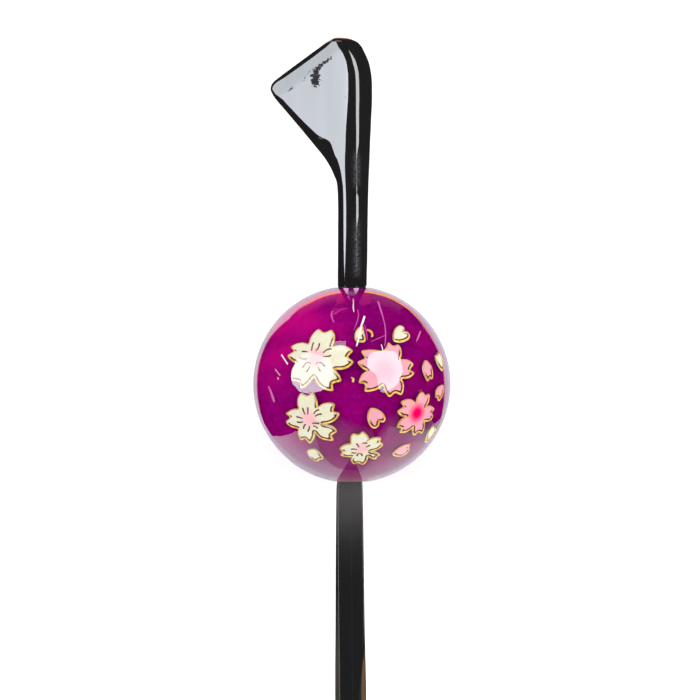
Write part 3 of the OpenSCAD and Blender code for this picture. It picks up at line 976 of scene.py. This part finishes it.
# %% [markdown]
# The stamens are two strokes of brown ink on each petal of a cream blossom, thick at the outer end.
# On the smallest blossom, drawing D, only seven strokes can be made out.
# %% Drawings of the stamens
STAMEN_WIDTHS = [0.24, 0.2, 0.15, 0.15]
STAMENS = {
    "A": [
        [(-0.45, 1.63), (-0.53, 1.23), (-0.53, 0.75)],
        [(0.19, 1.55), (0.15, 1.07), (-0.09, 0.74)],
        [(1.54, 0.97), (1.07, 0.85), (0.72, 0.51)],
        [(1.54, 0.32), (1.3, 0.19), (0.74, 0.15)],
        [(-1.62, 0.7), (-1.31, 0.69), (-0.98, 0.65)],
        [(-1.81, 0.11), (-1.38, -0.09), (-0.93, -0.05)],
        [(-1.35, -0.99), (-0.99, -0.55), (-0.72, -0.47), (-0.45, -0.59)],
        [(-0.94, -1.46), (-0.73, -1.21), (-0.54, -0.86)],
        [(1.04, -0.85), (0.64, -0.51), (0.32, -0.46), (0.07, -0.66)],
        [(0.62, -1.37), (0.48, -1.17), (0.37, -0.9)],
    ],
    "C": [
        [(-0.57, 1.14), (-0.5, 0.78), (-0.36, 0.45)],
        [(0.01, 1.2), (0, 0.84), (-0.09, 0.46)],
        [(1.23, 0.92), (0.9, 0.83), (0.59, 0.52)],
        [(1.43, 0.44), (1.12, 0.45), (0.71, 0.26)],
        [(-1.43, 0.17), (-1.08, 0.12), (-0.74, 0.02)],
        [(-1.47, -0.37), (-1.12, -0.41), (-0.75, -0.33)],
        [(-0.86, -1.11), (-0.71, -0.77), (-0.47, -0.58)],
        [(-0.46, -1.37), (-0.2, -1.07), (-0.14, -0.76)],
        [(1, -0.55), (0.64, -0.47), (0.25, -0.48)],
        [(0.74, -1.04), (0.56, -0.85), (0.31, -0.76)],
    ],
    "D": [
        [(-1.09, -0.16), (-0.8, -0.1), (-0.49, -0.15)],
        [(-1.01, -0.58), (-0.75, -0.63), (-0.51, -0.54)],
        [(-0.41, -1.04), (-0.36, -0.75), (-0.19, -0.65)],
        [(0.09, -1.03), (0.02, -0.78), (-0.16, -0.65)],
        [(0.78, 0.38), (0.59, 0.3), (0.39, 0.16)],
        [(-0.65, 0.6), (-0.48, 0.44), (-0.32, 0.16)],
        [(0.46, 0.65), (0.2, 0.69), (-0.05, 0.63)],
    ],
}

# %% Print all motifs
cream, pink = Skin("edge", "shade", "heart", "hot"), Skin("edge", "shade", "heart", "hot")
gold, brown = Skin("shade"), Skin()
for skin, rows in ((cream, CREAM_BLOSSOMS + CREAM_PETALS), (pink, PINK_BLOSSOMS + PINK_PETALS)):
    for row in rows:
        drawing = row[4]
        blossom = drawing in BLOSSOM_SHAPES
        if blossom:
            outline = blossom_outline(BLOSSOM_SHAPES[drawing])
        else:
            outline = petal_outline(PETAL_SHAPES[drawing])
        add_petals(skin, row, outline, blossom)
        low_sides = shades(row, outline)
        corners, faces = strip(
            row, outline, [LINE_W + LOW_SIDE_W * low for low in low_sides], LINE_RISE, True
        )
        each = len(corners) // len(outline)
        gold.add(corners, faces, shade=[low for low in low_sides for _ in range(each)])
        if skin is cream:
            for points in STAMENS.get(drawing, []):
                brown.add(*stroke(row, points, STAMEN_WIDTHS[: len(points)]))
print(f"{len(gold.corners)} corners of gold line, {len(brown.corners)} of stamens")

# %% [markdown]
# The ball isn't new. A white scratch runs right through one petal and has taken half of it away, and
# a few short nicks and faint lines lie round it. They are strokes too. A row holds the latitude and
# longitude that a stroke is drawn round, its points, its width at each of them and its paleness. Two
# crumbs of gold, where a line has broken off, are drawn in the same way.
# %% Nicks and scratches
SCRATCHED_PETAL = (30.5, 14.5)
OVER_PETAL = PETAL_RISE + 0.06
ON_BARE_BALL = 0.02
NICKS = [
    (
        SCRATCHED_PETAL,
        [(0.31, 2.17), (0.11, 1.57), (-0.14, 0.88), (-0.38, -0.14), (-0.73, -1.31)],
        [0.2, 0.2, 0.17, 0.2, 0.13],
        1,
    ),
    (
        (25, 20),
        [(1.52, 5.44), (1.51, 4.21), (1.56, 3.11), (1.59, 2.09), (1.51, 0.88), (1.26, -0.37)],
        [0.2, 0.2, 0.12, 0.1, 0.12, 0.08],
        0.1,
    ),
    ((25, 20), [(1.42, 0.87), (0.66, 0.49), (-0.1, 0.14)], [0.06, 0.06, 0.04], 0.12),
    ((25, 5), [(0.8, 4.14), (0.91, 3.19), (0.75, 2.27), (0.46, 1.41)], [0.08, 0.1, 0.09, 0.05], 0.08),
    (
        SCRATCHED_PETAL,
        [(0.22, 1.1), (0.3, 0.6), (0.36, -0.1), (0.4, -0.7)],
        [0.06, 0.12, 0.14, 0.06],
        0.03,
    ),
    ((15, -45), [(0.67, 0.47), (1.27, -0.01), (1.84, -0.49)], [0.14, 0.13, 0.17], 0.75),
    ((8, -50), [(0.98, 0.17), (1.4, -0.13), (1.84, -0.43)], [0.14, 0.1, 0.15], 0.35),
    ((12, -50), [(1.45, -1.33), (1.55, -1.43), (1.65, -1.52)], [0.15, 0.2, 0.12], 0.35),
    (
        (0, -55),
        [(0.85, -0.16), (1.26, -0.77), (1.51, -1.37), (1.66, -1.77)],
        [0.15, 0.34, 0.4, 0.2],
        0.12,
    ),
    ((25, 50), [(1.81, 1.41), (1.12, 0.76), (0.53, 0.17)], [0.16, 0.2, 0.1], 0.12),
    ((48, 2), [(0.56, 2.11), (0.66, 1.26), (0.69, 0.58), (0.81, -0.11)], [0.06, 0.1, 0.13, 0.08], 0.6),
    ((50, -5), [(-0.57, -0.3), (-0.57, -0.98), (-0.17, -1.94)], [0.1, 0.16, 0.08], 0.1),
    ((50, -5), [(-0.5, -0.95), (-0.1, -0.55), (0.3, -0.2), (0.9, 0.15)], [0.06, 0.12, 0.1, 0.05], 0.04),
    ((20, 18), [(1.24, 0.7), (1.35, 0.17), (1.28, -0.15)], [0.08, 0.12, 0.1], 0.8),
]
CRUMB_WIDTHS = [0.12, 0.22, 0.2, 0.14]
CRUMBS = [
    (SCRATCHED_PETAL, [(0.44, 0.5), (0.77, 0.35), (0.95, 0), (0.82, -0.28)]),
    ((3, 7.3), [(-0.12, 0.22), (0.1, 0.05), (0, -0.22)]),
]
nicks = Skin("pale")
for place, points, widths, pale in NICKS:
    rise = OVER_PETAL if place == SCRATCHED_PETAL else ON_BARE_BALL
    corners, faces = stroke((*place, 1, 0), points, widths, rise)
    nicks.add(corners, faces, pale=[pale] * len(corners))
for place, points in CRUMBS:
    corners, faces = stroke((*place, 1, 0), points, CRUMB_WIDTHS[: len(points)])
    gold.add(corners, faces, shade=[0.5] * len(corners))
print(f"{len(NICKS)} nicks and scratches, {len(CRUMBS)} crumbs of gold")

# %% [markdown]
# The inks. The cream one blushes pink at the heart of each blossom, and the pink one turns hot there.
# Both have a dark brown line inside the gold one on the lower edges. A clear coat over the gold and
# the brown mirrors the softboxes as strongly as the bare ball does. Over the cream it is thinner. The
# gold is painted brighter on its lower right sides, as a painted highlight.
# %% The inks
BROWN = (0.1, 0.018, 0.007)
LINE_COAT = 0.9


def petal_ink(name, colour, blush, blush_reach, blush_share, coat):
    """A petal's ink, which turns to the blush towards the heart, and fully so on the hot drawing."""
    tree, dress = new_finish(name)
    edge, shade, heart, hot = (attribute(tree, key) for key in ("edge", "shade", "heart", "hot"))
    mottle = spots(tree, 2600, detail=3.0, seed=2.0)
    ink = mix(tree, mottle.above(0.3, 0.7) * 0.5, colour, tuple(0.86 * c for c in colour))
    ink = mix(tree, heart.below(*blush_reach) * (blush_share + hot * (1 - blush_share)), ink, blush)
    line = edge.above(0.15, 0.19) * edge.below(0.31, 0.38) * shade.above(-0.2, 0.25)
    ink = mix(tree, line, ink, BROWN)
    return dress(
        Base_Color=ink,
        Roughness=0.5,
        Specular_IOR_Level=0.0,
        Coat_Weight=coat + line * (LINE_COAT - coat),
        Coat_Roughness=0.03,
    )


def line_ink(name, upper, lower, worn, coat):
    """The ink of a raised line, with a colour for its upper and its lower sides and for worn places. A
    lower side brighter than the upper one is a painted highlight.
    """
    tree, dress = new_finish(name)
    mottle = spots(tree, 2600, detail=3.0, seed=7.0)
    ink = mix(tree, attribute(tree, "shade").above(-0.6, 0.5), upper, lower)
    ink = mix(tree, mottle.above(0.35, 0.7), ink, worn)
    return dress(
        Base_Color=ink,
        Roughness=0.5,
        Specular_IOR_Level=0.0,
        Coat_Weight=coat,
        Coat_Roughness=0.03,
    )


def nick_white():
    """Faint scratches take their colour from the purple under them, deep ones are nearly white."""
    tree, dress = new_finish("nick_white")
    colour = mix(tree, attribute(tree, "pale"), (0.5, 0.01, 0.3), (0.9, 0.87, 0.85))
    return dress(Base_Color=colour, Roughness=0.6, Specular_IOR_Level=0.0)


cream_ink = petal_ink(
    "cream_print",
    colour=(0.68, 0.655, 0.5),
    blush=(0.8, 0.4, 0.45),
    blush_reach=(0.08, 0.42),
    blush_share=0.9,
    coat=0.45,
)
pink_ink = petal_ink(
    "pink_print",
    colour=(0.75, 0.33, 0.4),
    blush=(0.95, 0.0, 0.1),
    blush_reach=(0.12, 0.5),
    blush_share=0.28,
    coat=0.95,
)
# Painted highlight: the gold is brighter yellow on its lower right sides, darker on its upper left.
gold_ink = line_ink(
    "gold_ink",
    upper=(0.6, 0.41, 0.12),
    lower=(0.85, 0.57, 0.15),
    worn=(0.48, 0.25, 0.04),
    coat=1.0,
)
brown_ink = line_ink(
    "brown_ink",
    upper=(0.05, 0.014, 0.005),
    lower=(0.05, 0.014, 0.005),
    worn=(0.19, 0.07, 0.03),
    coat=LINE_COAT,
)

# %% Make the printed pieces
for name, skin, material, slot, node in (
    ("cream_petals", cream, cream_ink, "cream_print", "cream_blossoms"),
    ("pink_petals", pink, pink_ink, "pink_print", "pink_blossoms"),
    ("gold_lines", gold, gold_ink, "cream_print", None),
    ("stamens", brown, brown_ink, "cream_print", None),
    ("nicks", nicks, nick_white(), "clear_acrylic", None),
):
    make_piece(
        name,
        skin.corners,
        skin.faces,
        material,
        slot,
        node=node,
        attributes=skin.values,
        like_ball=True,
    )

# %% [markdown]
# The studio. Gloss and colour need different light. The black plastic and the ball's gloss show only
# what they mirror, so the softboxes and all else in the studio are glowing cards that only reflections
# see. Two broad lamps near the softboxes' places, which no reflection sees, light the inks and the
# floor. The floor is pale and plain.
# %% Directions seen from the photo's camera
ROLL = math.radians(7)
VIEW = Matrix.Rotation(lean, 3, "X") @ Matrix.Rotation(ROLL, 3, "Y")
toward_camera = VIEW @ Vector((0, 0, 1))
camera_right = VIEW @ Vector((1, 0, 0))
camera_up = VIEW @ Vector((0, 1, 0))


def direction(azimuth, elevation):
    """A direction from the ball: azimuth to the camera's right, elevation to its top."""
    a, e = math.radians(azimuth), math.radians(elevation)
    return VIEW @ Vector((math.cos(e) * math.sin(a), math.sin(e), math.cos(e) * math.cos(a)))


# %% Camera
MM_PER_PIXEL = 0.1017
IMAGE_SIDE = 700
BALL_AT = (351.8, 384.4)
CAMERA_AWAY = 0.6


def pixel_place(px, py):
    """The place of a pixel, on the plane through the ball's middle that faces the camera."""
    across = camera_right * (px - BALL_AT[0]) + camera_up * (BALL_AT[1] - py)
    return ball_middle + across * MM_PER_PIXEL * MM


camera_data = bpy.data.cameras.new("photo_camera")
camera_data.sensor_width = 36
camera_data.lens = camera_data.sensor_width * CAMERA_AWAY / (IMAGE_SIDE * MM_PER_PIXEL * MM)
camera_data.clip_end = 50
camera = bpy.data.objects.new("photo_camera", camera_data)
bpy.context.scene.collection.objects.link(camera)
camera_place = pixel_place(IMAGE_SIDE / 2, IMAGE_SIDE / 2) + toward_camera * CAMERA_AWAY
camera.matrix_world = Matrix.Translation(camera_place) @ VIEW.to_4x4()
bpy.context.scene.camera = camera
print(f"lens {camera_data.lens:.1f} mm")

# %% [markdown]
# The ball is a mirror that shows the whole studio, so the cards are cut by working backwards from it.
# An outline is given where the photo shows it on the ball, in pixels. From there a ray is mirrored,
# and about half a metre on is a corner of the card. Where two cards overlap, the one with the shorter
# distance hides the other. A few patches beside the neck and the leg are the stick's own gloss seen
# in the ball, so those cards lie on top of the stick instead.
# %% Rays that the ball mirrors
CARD_AWAY = 0.5


def mirror_ray(px, py):
    """Where the sight through a pixel meets the ball, and the way that it goes on after that."""
    spot = pixel_place(px, py)
    sight = (spot - camera_place).normalized()
    back = camera_place - ball_middle
    deep = sight.dot(back)
    room = deep**2 - back.length_squared + (BALL_R * MM) ** 2
    start = camera_place + sight * (-deep - math.sqrt(max(0.0, room)))
    out = (start - ball_middle).normalized()
    return start, sight - 2 * sight.dot(out) * out


def mirrored(px, py, away):
    """The place that a pixel of the ball mirrors, at a distance in metres."""
    start, way = mirror_ray(px, py)
    return start + way * away


def on_plastic(px, py, height):
    """The place on top of the stick that a pixel of the ball mirrors, for a height in the stick's
    own measures."""
    start, way = mirror_ray(px, py)
    from_table = to_table.inverted()
    a, b = from_table @ start, from_table @ (start + way)
    return to_table @ a.lerp(b, (height - a.z) / (b.z - a.z))


# %% Cards of light
UNLIT = (0, 0, 0)
VEIL_STEPS = 6
RIM_START = 0.88
RIM_DIM = 0.65


def staged(name, corners, faces, material):
    """A thing of the studio, which isn't part of the object."""
    mesh = bpy.data.meshes.new(name)
    mesh.from_pydata(corners, [], faces)
    mesh.materials.append(material)
    thing = bpy.data.objects.new(name, mesh)
    bpy.context.scene.collection.objects.link(thing)
    return thing


def card(name, corners, faces, strength, colour, glow=None, one_sided=False):
    """A glowing card that only reflections see. Glow, from 0 to 1, can differ between its corners."""
    tree, dress = new_finish(name)
    light = colour
    if glow:
        light = mix(tree, attribute(tree, "glow"), UNLIT, colour)
    if one_sided:
        back = add_node(tree, "ShaderNodeNewGeometry", output=6)
        light = mix(tree, back, colour, UNLIT)
    material = dress(
        Base_Color=UNLIT,
        Specular_IOR_Level=0.0,
        Emission_Color=light,
        Emission_Strength=strength,
    )
    made = staged(name, corners, faces, material)
    if glow:
        made.data.attributes.new("glow", "FLOAT", "POINT").data.foreach_set("value", glow)
    made.visible_camera = made.visible_diffuse = made.visible_transmission = made.visible_shadow = False
    print(f"{name}: {len(faces)} faces that only reflections see")


def softbox(name, outline, strength, colour, away=CARD_AWAY):
    """An even card with the outline that the ball shows."""
    middle = [sum(spot[axis] for spot in outline) / len(outline) for axis in (0, 1)]
    corners = [mirrored(*spot, away) for spot in [middle] + outline]
    faces = [(0, 1 + k, 1 + (k + 1) % len(outline)) for k in range(len(outline))]
    card(name, corners, faces, strength, colour)


def glint(name, outline, height, strength, colour):
    """A patch of light that the ball sees on top of the stick, and that the stick doesn't."""
    corners = [on_plastic(*spot, height) for spot in outline]
    way_up = (corners[1] - corners[0]).cross(corners[2] - corners[0]).z
    face = tuple(range(len(corners))) if way_up > 0 else tuple(reversed(range(len(corners))))
    card(name, corners, [face], strength, colour, one_sided=True)


def veil(name, rows, strength, colour, away=CARD_AWAY):
    """A soft band. A row holds points of the photo from the band's start to its end, each with a glow.
    Towards the ball's outline, where any surface mirrors strongly, the glow is taken down."""
    corners, glow = [], []
    width = VEIL_STEPS * (len(rows[0]) - 1) + 1
    for row in rows:
        for k in range(width):
            i = min(k // VEIL_STEPS, len(row) - 2)
            t = (k - i * VEIL_STEPS) / VEIL_STEPS
            x, y, bright = (a + (b - a) * t for a, b in zip(row[i], row[i + 1]))
            from_middle = math.hypot(x - BALL_AT[0], y - BALL_AT[1]) * MM_PER_PIXEL / BALL_R
            corners.append(mirrored(x, y, away))
            glow.append(bright * (1 - RIM_DIM * ramp(from_middle, RIM_START, 1.0)))
    card(name, corners, row_faces(len(rows), width, ring=False), strength, colour, glow)


def on_rim(px, py, glow):
    """A band's end: the place just inside the ball's outline on the same radius as a pixel."""
    out = Vector((px - BALL_AT[0], py - BALL_AT[1])).normalized()
    out *= BALL_R / MM_PER_PIXEL - 0.2
    return BALL_AT[0] + out.x, BALL_AT[1] + out.y, glow


# %% [markdown]
# The studio holds two softboxes and a window beside the left one. Outlines below are in pixels of the
# photo, as all places on the ball are. A flame of pink light is on each side of the neck. The small
# glints under the neck and over the leg are the stick's own gloss seen in the ball. A warm wall on
# the right, which is given by directions from the ball, makes the leg's right edge brown.
# %% Softboxes
LEFT_SOFTBOX = [
    (291, 376), (292.5, 383), (299, 391.5), (308.5, 393.5), (319, 391.5),
    (327, 388), (333.5, 373), (330, 359), (309, 352.5), (297, 359),
]
RIGHT_SOFTBOX = [
    (367, 360), (370.5, 353.5), (380, 350.8), (387, 350.8), (394.5, 351.7), (399.7, 358.5),
    (402.3, 370.5), (400.5, 377), (397, 384.5), (390, 389.7), (382.5, 393), (378, 389),
    (377.3, 380), (376, 375), (373, 372), (367, 369),
]
LEFT_WINDOW = [(330, 341.5), (346, 341.3), (346, 351), (330, 352)]
softbox("left_softbox", LEFT_SOFTBOX, 12.5, (0.92, 0.97, 1.05))
softbox("left_window", LEFT_WINDOW, 6.0, (0.8, 0.9, 1.0))
softbox("right_softbox", RIGHT_SOFTBOX, 9.5, (0.95, 1.0, 1.0))

# %% Flames and glints beside the stick, and the warm wall
FLAME_AWAY = 0.44
LEFT_FLAME = [
    (331, 313), (336, 303.5), (340, 293.5), (345, 294.5), (348, 301.5), (343.5, 307), (337, 315),
]
RIGHT_FLAME = [(356.5, 303), (359.5, 295), (363, 292), (369, 293.5), (371, 303), (364, 306)]
NECK_GLINT_H = 1.47
NECK_GLINT_LEFT = [(343.2, 288.2), (348.3, 288.2), (348.3, 294), (346, 293)]
NECK_GLINT_RIGHT = [(353.5, 288.2), (359, 288.2), (355.8, 294.5)]
NECK_GLINT_LOW = [(348.3, 294), (350.5, 301), (347.5, 297)]
LEG_GLINT_H = 1.33
LEG_GLINT = [(344, 469.5), (358.5, 469.5), (362.7, 481.3), (337, 481.3)]
WARM_WALL = ((85, -4), (90.5, -4), (90.5, -14), (85, -14))
softbox("left_flame", LEFT_FLAME, 2.0, (1.0, 0.06, 0.1), FLAME_AWAY)
softbox("right_flame", RIGHT_FLAME, 1.3, (1.0, 0.1, 0.14), FLAME_AWAY)
glint("neck_glint_left", NECK_GLINT_LEFT, NECK_GLINT_H, 2.2, (1.0, 0.72, 0.95))
glint("neck_glint_right", NECK_GLINT_RIGHT, NECK_GLINT_H, 1.9, (1.0, 0.85, 0.95))
glint("neck_glint_low", NECK_GLINT_LOW, NECK_GLINT_H, 1.4, (1.0, 0.7, 0.9))
glint("leg_glint", LEG_GLINT, LEG_GLINT_H, 0.5, (1.0, 0.72, 0.55))
wall_corners = [ball_middle + direction(*angles) * CARD_AWAY for angles in WARM_WALL]
card("warm_wall", wall_corners, [(0, 1, 2, 3)], 1.0, (2.0, 1.08, 0.42))

# %% [markdown]
# The ball mirrors white paper all round it as a pale rim, with a thin orange line along the rim's
# inner side. A row of the table is a place on that inner side and how thick the line is there. The
# rim runs on from it to the ball's outline.
# %% The rim
RIM = [
    (337, 477.5, 0), (320, 472.5, 0), (298, 461, 0), (281, 446, 0), (270, 433, 0.05),
    (264.5, 424, 0.1), (261, 415, 0.2), (258.8, 405, 0.25), (257, 392, 0.3), (256.8, 380, 0.35),
    (259, 363, 0.35), (263.5, 349, 0.35), (270, 337, 0.35), (279, 327, 0.35), (288, 319.5, 0.35),
    (298, 309, 0.5), (309, 301.5, 0.9), (324, 294.5, 1.0), (339, 291.4, 1.0), (352, 290.6, 1.0),
    (366, 290.8, 1.0), (380, 293.2, 1.0), (394, 298.2, 1.0), (407, 306.5, 0.9), (418, 317, 0.8),
    (425, 327, 0.6), (432, 338, 0.45), (438, 350, 0.4), (442.5, 364, 0.4), (444.5, 380, 0.4),
    (444.5, 395, 0.35), (443.3, 408, 0.3), (440.5, 420, 0.2), (434, 432, 0), (419, 451, 0),
    (399, 466, 0), (381, 474, 0), (368, 477.3, 0),
]
LINE_SHARE = 0.022
PAPER_GLOW = 0.9
PAPER_GLOW_LEFT = 0.75
middle = Vector(BALL_AT)
paper, orange = [], []
for x, y, thick in RIM:
    outer_glow = PAPER_GLOW if x > middle.x else PAPER_GLOW_LEFT
    paper.append(((x, y, PAPER_GLOW), on_rim(x, y, outer_glow)))
    inner = Vector((x, y)).lerp(middle, LINE_SHARE * thick)
    orange.append(((*inner, thick), (x, y, thick)))
veil("paper", paper, 3.3, (0.88, 0.97, 1.02), away=0.47)
veil("orange_edge", orange, 6.0, (1.0, 0.42, 0.1), away=0.45)

# %% [markdown]
# The pale veils in the ball's lower half are the table and what lies on it, and a faint warm one is
# under the neck. They are bands that fade in from one side, so a row of a band is a line across it,
# and each point of a row has a place and a glow. The middle one lies behind the other two.
# %% Soft veils
VEIL_LEFT = [
    ((262, 425, 1), (258, 419, 1)),
    ((268, 433, 1), (264, 432, 1)),
    ((276, 436, 1), (268, 441, 1)),
    ((286, 435, 1), (281, 453, 1)),
    ((296, 431, 1), (294, 463, 1)),
    ((306, 428, 1), (304, 470, 1)),
    ((316, 434, 1), on_rim(311, 475, 1)),
    ((318.5, 446, 1), on_rim(317, 477, 1)),
    ((323, 455, 1), on_rim(323, 479, 1)),
    ((329, 462, 1), on_rim(329, 481, 1)),
    ((338, 468.5, 1), on_rim(337, 482, 1)),
    ((347, 470, 1), on_rim(345, 483, 1)),
]
VEIL_MIDDLE = [
    ((313, 414, 0), (314, 436, 0.8), (313, 458, 1)),
    ((326, 412, 0), (327, 434, 0.8), (325, 468, 1)),
    ((338, 414, 0), (340, 432, 0.8), (340, 477, 1)),
    ((350, 420, 0), (351, 436, 0.8), (352, 478, 1)),
    ((362, 424, 0), (362, 438, 0.8), (363, 478, 1)),
    ((372, 428, 0), (375, 440, 0.8), (381, 474, 1)),
]
VEIL_RIGHT = [
    ((357.5, 470.5, 0.5), (358.5, 473, 0.7), (360, 476, 0.75), (361.5, 479, 0.8), on_rim(363, 483, 0.9)),
    ((364, 463, 0.2), (365, 466, 0.5), (366.5, 470, 0.7), (368.5, 476, 0.8), on_rim(371, 483, 0.9)),
    ((371, 451, 0.1), (372, 455, 0.4), (374, 460, 0.7), (377, 470, 0.8), on_rim(381, 480, 0.95)),
    ((378, 433, 0.1), (380, 438, 0.4), (382, 443, 0.7), (388, 458, 0.8), on_rim(395, 474, 1)),
    ((388, 415, 0), (389, 425.5, 0.25), (390, 427.5, 0.75), (400, 447, 0.75), on_rim(412, 462, 1)),
    ((398, 412, 0), (399, 426.5, 0.25), (400, 428.5, 0.75), (412, 441, 0.7), on_rim(427, 450, 1)),
    ((408, 420, 0), (409, 431, 0.25), (410, 433, 0.7), (422, 438, 0.7), on_rim(437, 437, 0.95)),
    ((420, 424, 0), (422, 431, 0.25), (423, 433, 0.7), (430, 433, 0.7), on_rim(443, 426, 0.9)),
    ((430, 416, 0), (433, 423, 0.25), (434, 424, 0.7), (438, 421, 0.7), on_rim(446, 414, 0.9)),
]
VEIL_TOP = [
    ((300, 318, 0), (294, 306, 0.6)),
    ((318, 309, 0), (313, 297, 1)),
    ((336, 304, 0), (334, 291, 1)),
    ((352, 303, 0), (352, 290, 0.6)),
    ((368, 305, 0), (370, 291, 0.8)),
    ((384, 309, 0), (390, 296, 1)),
    ((398, 315, 0), (404, 305, 0.6)),
]
veil("veil_left", VEIL_LEFT, 2.3, (0.98, 1.02, 1.0))
veil("veil_middle", VEIL_MIDDLE, 1.2, (1.0, 0.95, 0.85), away=0.53)
veil("veil_right", VEIL_RIGHT, 2.5, (1.0, 1.05, 0.98))
veil("veil_top", VEIL_TOP, 0.75, (1.0, 0.5, 0.4), away=0.55)

# %% [markdown]
# The lamps are broad disks, so that shadows are soft. The floor is large and matt, and glows a little
# so that it comes out as pale as the sky, and neither shows in any gloss.
# %% Lamps, floor and sky
LAMP_AWAY = 0.5
LAMPS = [
    ("left_lamp", -49, 18, 0.5, 0.85),
    ("right_lamp", 41, 5, 0.4, 1.2),
]
FLOOR_HALF = 6.0
FLOOR_GLOW = 0.16
SKY_STRENGTH = 0.95
WHITE = (1.0, 1.0, 1.0)

for name, azimuth, elevation, size, power in LAMPS:
    out = direction(azimuth, elevation)
    lamp_data = bpy.data.lights.new(name, "AREA")
    lamp_data.shape = "DISK"
    lamp_data.size = size
    lamp_data.energy = power
    lamp = bpy.data.objects.new(name, lamp_data)
    bpy.context.scene.collection.objects.link(lamp)
    facing = out.to_track_quat("Z", "Y").to_matrix().to_4x4()
    lamp.matrix_world = Matrix.Translation(ball_middle + out * LAMP_AWAY) @ facing
    lamp.visible_glossy = False

_, dress = new_finish("pale_floor")
floor = staged(
    "floor",
    [(x * FLOOR_HALF, y * FLOOR_HALF, 0) for x, y in ((-1, -1), (1, -1), (1, 1), (-1, 1))],
    [(0, 1, 2, 3)],
    dress(
        Base_Color=(0.9, 0.9, 0.9),
        Roughness=0.9,
        Emission_Color=WHITE,
        Emission_Strength=FLOOR_GLOW,
    ),
)
floor.visible_glossy = False

world = bpy.data.worlds.new("studio")
bpy.context.scene.world = world
world.use_nodes = True
sky = world.node_tree.nodes["Background"]
sky.inputs["Color"].default_value = (*WHITE, 1.0)
sky.inputs["Strength"].default_value = SKY_STRENGTH
world.cycles_visibility.glossy = False
bpy.context.scene.view_settings.view_transform = "Standard"
print(f"{len(LAMPS)} lamps, a floor {2 * FLOOR_HALF:.0f} m wide and a plain sky")
